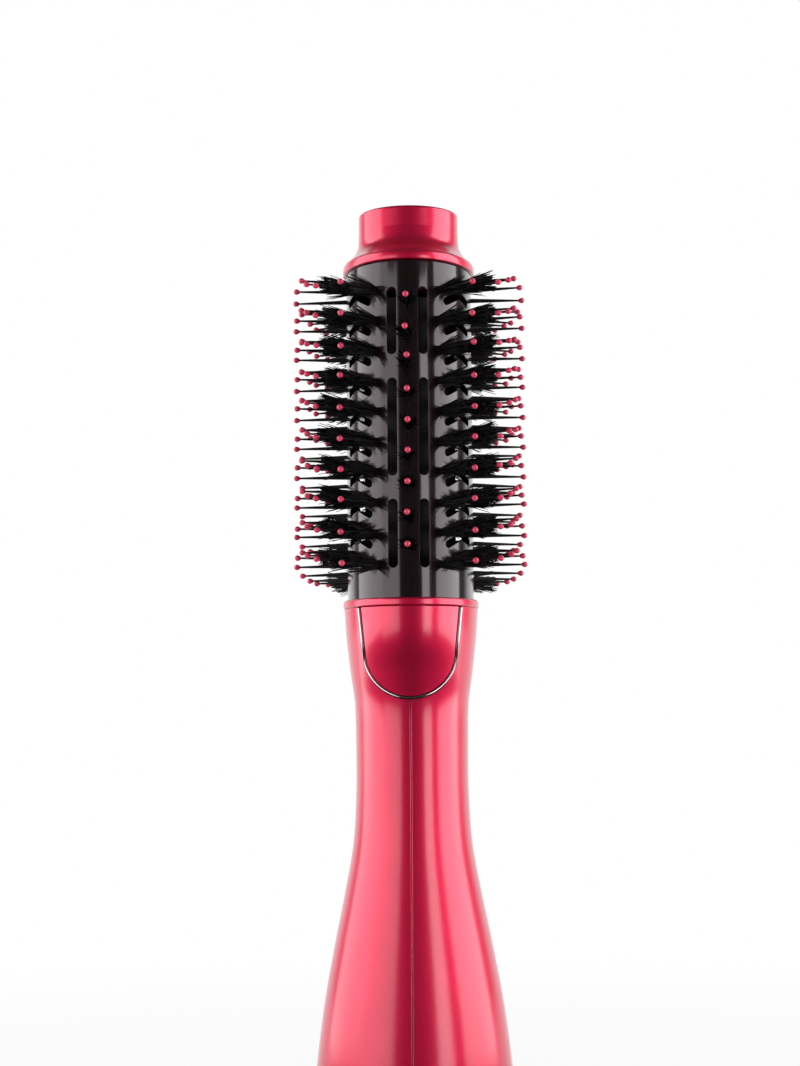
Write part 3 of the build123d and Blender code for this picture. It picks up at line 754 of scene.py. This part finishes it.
def makeCollar():
    low, high = tipForm["collarLow"], tipForm["collarHigh"]
    x, y = tipForm["collarX"], tipForm["collarY"]
    inX, inY = barrelForm["halfX"] - barrelForm["wall"], barrelForm["halfY"] - barrelForm["wall"]
    tall = high - low
    levels = [(low, inX, inY)]
    for up, share in tipForm["collarShape"]:
        back = tipForm["collarBevel"] * share
        levels.append((low + tall * up, x - back, y - back))
    levels += [(high, inX, inY), (low, inX, inY)]
    collar = raiseOval("tipCollar", levels, tipForm["sides"], closed=True)
    smoothForm(collar, angle=50)
    return collar


def makeCoolTip():
    grip, gripLow, top = tipForm["gripRadius"], tipForm["gripLow"], tipForm["top"]
    insetX, insetY = tipForm["flareInset"]
    footX, footY = barrelForm["halfX"] - insetX, barrelForm["halfY"] - insetY
    span = gripLow - tipForm["collarHigh"]
    stations = [
        (
            tipForm["collarHigh"] + up * span,
            grip + (footX - grip) * outX,
            grip + (footY - grip) * outY,
        )
        for up, outX, outY in tipForm["flare"]
    ]
    levels = throughPoints(stations, tipForm["flareSteps"])
    edge = tipForm["edge"]
    for turn in range(0, 91, 15):  # the rounded edge, in degrees
        back = edge * (1 - math.cos(math.radians(turn)))
        rise = edge * math.sin(math.radians(turn))
        levels.append((top - edge + rise, grip - back, grip - back))
    for back, share in tipForm["dishShape"]:
        levels.append((top - tipForm["dish"] * share, grip - back, grip - back))
    knob = raiseOval("coolTip", levels, tipForm["sides"])
    smoothForm(knob, angle=60)
    return knob


addPiece(makeCollar(), "raspberry_lacquer", "brush", "tip_collar")
addPiece(makeCoolTip(), "raspberry_lacquer", "brush", "cool_tip")
print("cool tip made")


# --- handle shells, inlays and trims

handleForm = {
    "low": 0.0224,
    "high": 0.2234,
    "wall": 0.0026,
    "sides": 224,
    "seamGap": 0.00016,
    "seamEdge": 0.00026,
    "seamDepth": 0.0006,
    "profileSteps": 402,  # every half millimetre
    "shellSteps": 134,
    "weld": 0.00002,
    # height, half width, half depth
    "stations": [
        (0.0224, 0.0303, 0.0303),
        (0.0374, 0.0313, 0.0313),
        (0.0564, 0.0316, 0.0316),
        (0.0774, 0.0308, 0.0310),
        (0.0994, 0.0282, 0.0291),
        (0.1194, 0.0246, 0.0266),
        (0.1350, 0.0214, 0.0239),
        (0.1504, 0.0187, 0.0218),
        (0.1664, 0.0177, 0.0209),
        (0.1844, 0.0177, 0.0210),
        (0.1944, 0.0180, 0.0219),
        (0.2030, 0.0192, 0.0243),
        (0.2116, 0.0202, 0.0273),
        (0.2170, 0.0207, 0.0284),
        (0.2234, 0.0211, 0.02877),
    ],
}
inlayForm = {
    "halfWidth": 0.0162,
    "radius": 0.0148,
    "drop": 0.0284,
    "thickness": 0.0012,
    "low": 0.190,
    "topGap": 0.0001,
    "steps": 66,
    "cutterSides": 122,
    "cutterReach": 0.1,
    "cutterOver": 0.001,
    "trimWidth": 0.001,
    "trimProud": 0.00025,
    "trimTopGap": 0.0003,
    "trimSteps": 12,
    "gap": 0.00012,
}
windowForm = {"width": 0.032, "height": 0.026, "corner": 0.005, "middle": 0.0504, "reach": 0.1}

handleProfile = throughPoints(handleForm["stations"], handleForm["profileSteps"])


def handleSize(height):  # half width and half depth there
    step = (handleForm["high"] - handleForm["low"]) / handleForm["profileSteps"]
    place = (height - handleForm["low"]) / step
    index = min(max(int(place), 0), len(handleProfile) - 2)
    share = min(place - index, 1)
    (_, lowX, lowY), (_, highX, highY) = handleProfile[index : index + 2]
    return lowX + (highX - lowX) * share, lowY + (highY - lowY) * share


def handleLevels(inset, low, high, count):
    levels = []
    for i in range(count + 1):
        height = low + (high - low) * i / count
        halfX, halfY = handleSize(height)
        levels.append((height, halfX - inset, halfY - inset))
    return levels


def makeHandleBand(name, outer, inner, low, high, count):
    # closed band between two insets of the handle's form
    outside = handleLevels(outer, low, high, count)
    inside = handleLevels(inner, low, high, max(count // 4, 2))[::-1]
    return raiseOval(name, outside + inside + outside[:1], handleForm["sides"], closed=True)


def makeUCutter(grow, side):
    # a disc whose upper half is drawn up past the handle's upper end
    radius = inlayForm["radius"] + grow
    lean = (inlayForm["halfWidth"] + grow) / radius
    centre = handleForm["high"] - inlayForm["drop"] + inlayForm["radius"]
    top = handleForm["high"] + inlayForm["cutterOver"]
    bpy.ops.object.select_all(action="DESELECT")
    bpy.ops.mesh.primitive_cylinder_add(
        vertices=inlayForm["cutterSides"],
        radius=radius,
        depth=inlayForm["cutterReach"],
        location=(0, 0, centre),
        rotation=(math.radians(90), 0, 0),
    )
    cutter = settle(bpy.context.object, "inlayCutter")
    openMesh(cutter)
    pickPoints(cutter, lambda co: co.z > centre)
    bpy.ops.transform.resize(value=(lean, 1, 0), center_override=(0, 0, centre))
    bpy.ops.transform.translate(value=(0, 0, top - centre))
    closeMesh()
    if side:  # kept to the front or the back
        cutAway(cutter, (0, 0, 0), (0, side, 0))
    return cutter


def makeWindowCutter():  # the two grilles' windows, right through the handle
    bpy.ops.object.select_all(action="DESELECT")
    bpy.ops.mesh.primitive_cube_add(size=1, location=(0, 0, windowForm["middle"]))
    cutter = bpy.context.object
    cutter.scale = (windowForm["reach"], windowForm["width"], windowForm["height"])
    settle(cutter, "windowCutter")
    openMesh(cutter)
    pickEdges(cutter, lambda a, b: abs(a.x - b.x) > windowForm["reach"] / 2)
    bpy.ops.mesh.bevel(offset=windowForm["corner"], segments=8, affect="EDGES")
    closeMesh()
    return cutter


def makeShells():
    low, high = handleForm["low"], handleForm["high"]
    steps = handleForm["shellSteps"]
    body = makeHandleBand("handleShell", 0, handleForm["wall"], low, high, steps)
    cutters = [makeUCutter(inlayForm["gap"] / 2, 0), makeWindowCutter()]
    for cutter in cutters:
        carve(body, cutter)
    discard(*cutters)
    shells = []
    for name, side in (("rightShell", 1), ("leftShell", -1)):
        shell = twinOf(body, name)
        half = side * handleForm["seamGap"] / 2
        cutAway(shell, (half, 0, 0), (side, 0, 0))

        def onSeam(a, b):
            if abs(a.x - half) > 1e-6 or abs(b.x - half) > 1e-6:
                return False
            depth = handleSize((a.z + b.z) / 2)[1]
            return min(abs(a.y), abs(b.y)) > depth - handleForm["seamDepth"]

        openMesh(shell)
        pickEdges(shell, onSeam)
        bpy.ops.mesh.bevel(offset=handleForm["seamEdge"], segments=2, affect="EDGES")
        closeMesh()
        tidyMesh(shell, handleForm["weld"])
        smoothForm(shell, angle=35)
        shells.append(shell)
    discard(body)
    return shells


def makeInlay(name, side):
    top = handleForm["high"] - inlayForm["topGap"]
    thickness, low, steps = inlayForm["thickness"], inlayForm["low"], inlayForm["steps"]
    band = makeHandleBand(name, 0, thickness, low, top, steps)
    cutter = makeUCutter(-inlayForm["trimWidth"] - inlayForm["gap"], side)
    carve(band, cutter, "INTERSECT")
    discard(cutter)
    smoothForm(band, angle=25)
    return band


def handlePoint(x, height, side, sunk):  # under the handle's surface, at the front or the back
    halfX, halfY = handleSize(height)
    return Vector((x, side * (halfY - sunk) * math.sqrt(1 - (x / (halfX - sunk)) ** 2), height))


def makeTrim(name, side):
    # a round wire bent to the U between shell and inlay, on the handle's surface
    middle = inlayForm["trimWidth"] / 2
    radius = inlayForm["radius"] - middle
    centre = handleForm["high"] - inlayForm["drop"] + inlayForm["radius"]
    top = handleForm["high"] - inlayForm["trimTopGap"]
    leg = []
    for step in range(inlayForm["trimSteps"]):
        share = step / inlayForm["trimSteps"]
        inwards = (inlayForm["halfWidth"] - inlayForm["radius"]) * share
        leg.append((-inlayForm["halfWidth"] + middle + inwards, top + (centre - top) * share))
    bow = []
    for angle in range(180, 361, 3):
        turn = math.radians(angle)
        bow.append((radius * math.cos(turn), centre + radius * math.sin(turn)))
    flat = leg + bow + [(-x, height) for x, height in leg[::-1]]
    sunk = middle - inlayForm["trimProud"]
    wire = bpy.data.curves.new(name, "CURVE")
    wire.dimensions = "3D"
    wire.bevel_depth = middle + 0.00002  # a hair thicker than its groove
    wire.bevel_resolution = 5
    wire.use_fill_caps = True
    spline = wire.splines.new("POLY")
    spline.points.add(len(flat) - 1)
    for point, (x, height) in zip(spline.points, flat):
        point.co = (*handlePoint(x, height, side, sunk), 1)
    trim = bpy.data.objects.new(name, wire)
    bpy.context.collection.objects.link(trim)
    choose(trim)
    bpy.ops.object.convert(target="MESH")
    trim = settle(bpy.context.object, name)
    tidyMesh(trim)
    smooth(trim, angle=50)
    return trim


for shell, node in zip(makeShells(), ("right_shell", "left_shell")):
    addPiece(shell, "raspberry_lacquer", "brush", node)
for name, side in (("front", -1), ("back", 1)):
    addPiece(makeInlay(name + "Inlay", side), "raspberry_lacquer", "brush", name + "_inlay")
    addPiece(makeTrim(name + "Trim", side), "bright_trim", "brush", name + "_trim")
print("handle made")


# --- neck ring

neckForm = {
    "low": 0.2234,
    "high": 0.226,
    "halfX": 0.0214,
    "halfY": 0.0294,
    "gap": 0.0001,
    "edge": 0.0005,
    # share of the ring's height, then how many edges it stands in
    "shape": [(0, 1), (0.08, 0.35), (0.22, 0), (0.74, 0), (0.9, 0.35), (1, 1)],
    "sides": 192,
}


def makeNeckRing():
    low, high, edge = neckForm["low"], neckForm["high"], neckForm["edge"]
    x, y = neckForm["halfX"], neckForm["halfY"]
    inX, inY = barrelForm["halfX"] + neckForm["gap"], barrelForm["halfY"] + neckForm["gap"]
    levels = [(low, inX, inY)]
    for up, back in neckForm["shape"]:
        levels.append((low + (high - low) * up, x - edge * back, y - edge * back))
    levels += [(high, inX, inY), (low, inX, inY)]
    ring = raiseOval("neckRing", levels, neckForm["sides"], closed=True)
    smoothForm(ring, angle=50)
    return ring


addPiece(makeNeckRing(), "raspberry_lacquer", "brush", "neck_ring")
print("neck ring made")


# --- the dial's pointer, and plain numerals round the foot of the shells

markForm = {
    "dialRadius": 0.0298,
    "dialMiddle": 0.0157,
    "pointerSize": (0.0013, 0.0006, 0.0082),
    "pointerEdge": 0.00018,
    "pointerProud": 0.00015,
    "restAngle": -135.0,
    "numerals": {"0": -135.0, "1": -105.0, "2": -75.0, "3": -45.0},
    "numeralSize": 0.0042,
    "numeralLevel": 0.0262,
    "numeralDepth": 0.00024,
    "numeralProud": 0.00005,
    "shellLean": 3.8,
}


def roundTo(angle, radius, height):  # a place round the foot, at an angle from +X
    turn = math.radians(angle)
    return Vector((radius * math.cos(turn), radius * math.sin(turn), height))


def makePointer():
    wide, deep, tall = markForm["pointerSize"]
    angle = markForm["restAngle"]
    radius = markForm["dialRadius"] + markForm["pointerProud"] - deep / 2
    bpy.ops.object.select_all(action="DESELECT")
    bpy.ops.mesh.primitive_cube_add(
        size=1,
        location=roundTo(angle, radius, markForm["dialMiddle"]),
        rotation=(0, 0, math.radians(angle + 90)),
    )
    pointer = bpy.context.object
    pointer.scale = (wide, deep, tall)
    settle(pointer, "dialPointer")
    softenEdges(pointer, markForm["pointerEdge"], segments=3)
    smoothForm(pointer, angle=40)
    return pointer


def makeNumerals():
    numerals = []
    for numeral, angle in markForm["numerals"].items():
        halfX, halfY = handleSize(markForm["numeralLevel"])
        radius = (halfX + halfY) / 2 + markForm["numeralProud"] - markForm["numeralDepth"] / 2
        bpy.ops.object.select_all(action="DESELECT")
        bpy.ops.object.text_add(
            location=roundTo(angle, radius, markForm["numeralLevel"]),
            rotation=(math.radians(90 + markForm["shellLean"]), 0, math.radians(angle + 90)),
        )
        numeralText = bpy.context.object
        numeralText.data.body = numeral
        numeralText.data.size = markForm["numeralSize"]
        numeralText.data.extrude = markForm["numeralDepth"] / 2
        numeralText.data.align_x = "CENTER"
        numeralText.data.align_y = "CENTER"
        bpy.ops.object.convert(target="MESH")
        numerals.append(settle(bpy.context.object, "numeral" + numeral))
    marks = joinAs("numerals", numerals)
    tidyMesh(marks)
    return marks


for mark, body in ((makePointer(), "dial"), (makeNumerals(), "brush")):
    addPiece(mark, "bright_trim", body)
    paint(mark, silverPrint)
print("dial marks made")


# --- floor, lamps and camera

stageForm = {
    "floorSize": 8.0,
    "floorDrop": 0.0001,
    "floorShadow": 0.8,
    "shadowReach": (0.15, 0.9),
    "darkFront": (0.15, 0.5),
    "darkLevel": 0.02,
    "worldLevel": 0.35,
    "wallStart": (0.62, 0.78),
    "frontLevel": 0.05,
    "cameraPlace": (0.0128, -0.6423, 0.1952),
    "pitch": 4.68,
    "yaw": 1.44,
    "roll": -0.43,
    "lens": 68.5,
    "sensor": 36,
}
# softboxes: two ends of the panel's middle line, height of its middle, panel height, brightness
softboxes = {
    "leftNear": ((-0.335, -0.765), (-0.70, -0.34), 0.17, 0.66, 2.0),
    "leftFar": ((-0.745, -0.357), (-0.66, 0.41), 0.52, 0.94, 2.4),
    "rightNear": ((0.42, -0.73), (0.60, -0.53), 0.17, 0.66, 3.6),
    "rightFar": ((0.72, -0.37), (0.72, 0.34), 0.52, 0.94, 3.1),
}


def addSoftbox(name, first, last, height, tall, level):
    first, last = Vector((*first, height)), Vector((*last, height))
    wide = (last - first).length
    lamp = bpy.data.lights.new(name, "AREA")
    lamp.shape = "RECTANGLE"
    lamp.size, lamp.size_y = wide, tall
    lamp.energy = level * math.pi * wide * tall
    panel = bpy.data.objects.new(name, lamp)
    up = Vector((0, 0, 1))
    across = (last - first).normalized()
    if across.cross(up).dot(first + last) < 0:  # it shines the other way, towards the brush
        across = -across
    turn = Matrix((across, up, across.cross(up))).transposed()
    panel.matrix_world = Matrix.Translation((first + last) / 2) @ turn.to_4x4()
    bpy.context.collection.objects.link(panel)


def mapped(finish, source, fromRange, toRange):
    ramp = addNode(finish, "ShaderNodeMapRange")
    for socket, value in zip(("From Min", "From Max", "To Min", "To Max"), (*fromRange, *toRange)):
        ramp.inputs[socket].default_value = value
    finish.node_tree.links.new(source, ramp.inputs["Value"])
    return ramp.outputs[0]


def makeFloor():
    # pale, with the brush's shadow near it; in reflections white behind the brush, dark in front
    bpy.ops.object.select_all(action="DESELECT")
    bpy.ops.mesh.primitive_plane_add(
        size=stageForm["floorSize"], location=(0, 0, -stageForm["floorDrop"])
    )
    floor = bpy.context.object
    floor.name = "floor"
    pale = newFinish("paleFloor", (0.86, 0.86, 0.86), 0.7)
    links, shaders = pale.node_tree.links, pale.node_tree.nodes
    place = addNode(pale, "ShaderNodeTexCoord")
    split = addNode(pale, "ShaderNodeSeparateXYZ")
    far = addNode(pale, "ShaderNodeVectorMath", operation="LENGTH")
    links.new(place.outputs["Object"], split.inputs[0])
    links.new(place.outputs["Object"], far.inputs[0])
    shadow, dark = stageForm["floorShadow"], stageForm["darkLevel"]
    whiteShare = mapped(pale, far.outputs["Value"], stageForm["shadowReach"], (shadow, 1))
    behind = mapped(pale, split.outputs["Y"], stageForm["darkFront"], (dark, 1))
    path = addNode(pale, "ShaderNodeLightPath")
    seen = addNode(pale, "ShaderNodeMath", operation="MULTIPLY")
    share = addNode(pale, "ShaderNodeMath", operation="MAXIMUM")
    level = addNode(pale, "ShaderNodeMath", operation="MAXIMUM")
    white = addNode(pale, "ShaderNodeEmission")
    mix = addNode(pale, "ShaderNodeMixShader")
    links.new(path.outputs["Is Camera Ray"], seen.inputs[0])
    links.new(whiteShare, seen.inputs[1])
    links.new(seen.outputs[0], share.inputs[0])
    links.new(path.outputs["Is Glossy Ray"], share.inputs[1])
    links.new(path.outputs["Is Camera Ray"], level.inputs[0])
    links.new(behind, level.inputs[1])
    links.new(level.outputs[0], white.inputs["Strength"])
    links.new(share.outputs[0], mix.inputs["Fac"])
    links.new(shaders["Principled BSDF"].outputs[0], mix.inputs[1])
    links.new(white.outputs[0], mix.inputs[2])
    links.new(mix.outputs[0], shaders["Material Output"].inputs["Surface"])
    paint(floor, pale)


def makeWorld():
    # white to the camera, a white wall behind the brush for reflections, soft grey light otherwise
    world = bpy.data.worlds.new("studio")
    world.use_nodes = True
    bpy.context.scene.world = world
    links, shaders = world.node_tree.links, world.node_tree.nodes
    shaders["Background"].inputs["Strength"].default_value = stageForm["worldLevel"]
    place = addNode(world, "ShaderNodeTexCoord")
    split = addNode(world, "ShaderNodeSeparateXYZ")
    path = addNode(world, "ShaderNodeLightPath")
    reflected = addNode(world, "ShaderNodeBackground")
    plain = addNode(world, "ShaderNodeBackground")
    mixReflected = addNode(world, "ShaderNodeMixShader")
    mixCamera = addNode(world, "ShaderNodeMixShader")
    links.new(place.outputs["Generated"], split.inputs[0])
    wall = mapped(world, split.outputs["Y"], stageForm["wallStart"], (stageForm["frontLevel"], 1))
    links.new(wall, reflected.inputs["Strength"])
    links.new(path.outputs["Is Glossy Ray"], mixReflected.inputs["Fac"])
    links.new(shaders["Background"].outputs[0], mixReflected.inputs[1])
    links.new(reflected.outputs[0], mixReflected.inputs[2])
    links.new(path.outputs["Is Camera Ray"], mixCamera.inputs["Fac"])
    links.new(mixReflected.outputs[0], mixCamera.inputs[1])
    links.new(plain.outputs[0], mixCamera.inputs[2])
    links.new(mixCamera.outputs[0], shaders["World Output"].inputs["Surface"])
    for background in (shaders["Background"], reflected, plain):
        background.inputs["Color"].default_value = (1, 1, 1, 1)


def makeCamera():
    lens = bpy.data.cameras.new("camera")
    lens.lens = stageForm["lens"]
    lens.sensor_width = stageForm["sensor"]
    lens.sensor_fit = "AUTO"
    camera = bpy.data.objects.new("camera", lens)
    camera.location = stageForm["cameraPlace"]
    aim = Matrix.Rotation(math.radians(stageForm["yaw"]), 4, "Z")
    aim = aim @ Matrix.Rotation(math.radians(90 + stageForm["pitch"]), 4, "X")
    aim = aim @ Matrix.Rotation(math.radians(stageForm["roll"]), 4, "Z")
    camera.rotation_euler = aim.to_euler()
    bpy.context.collection.objects.link(camera)
    bpy.context.scene.camera = camera


makeFloor()
makeWorld()
makeCamera()
for name, (first, last, height, tall, level) in softboxes.items():
    addSoftbox(name, first, last, height, tall, level)
bpy.context.scene.view_settings.view_transform = "Standard"
print("stage set")
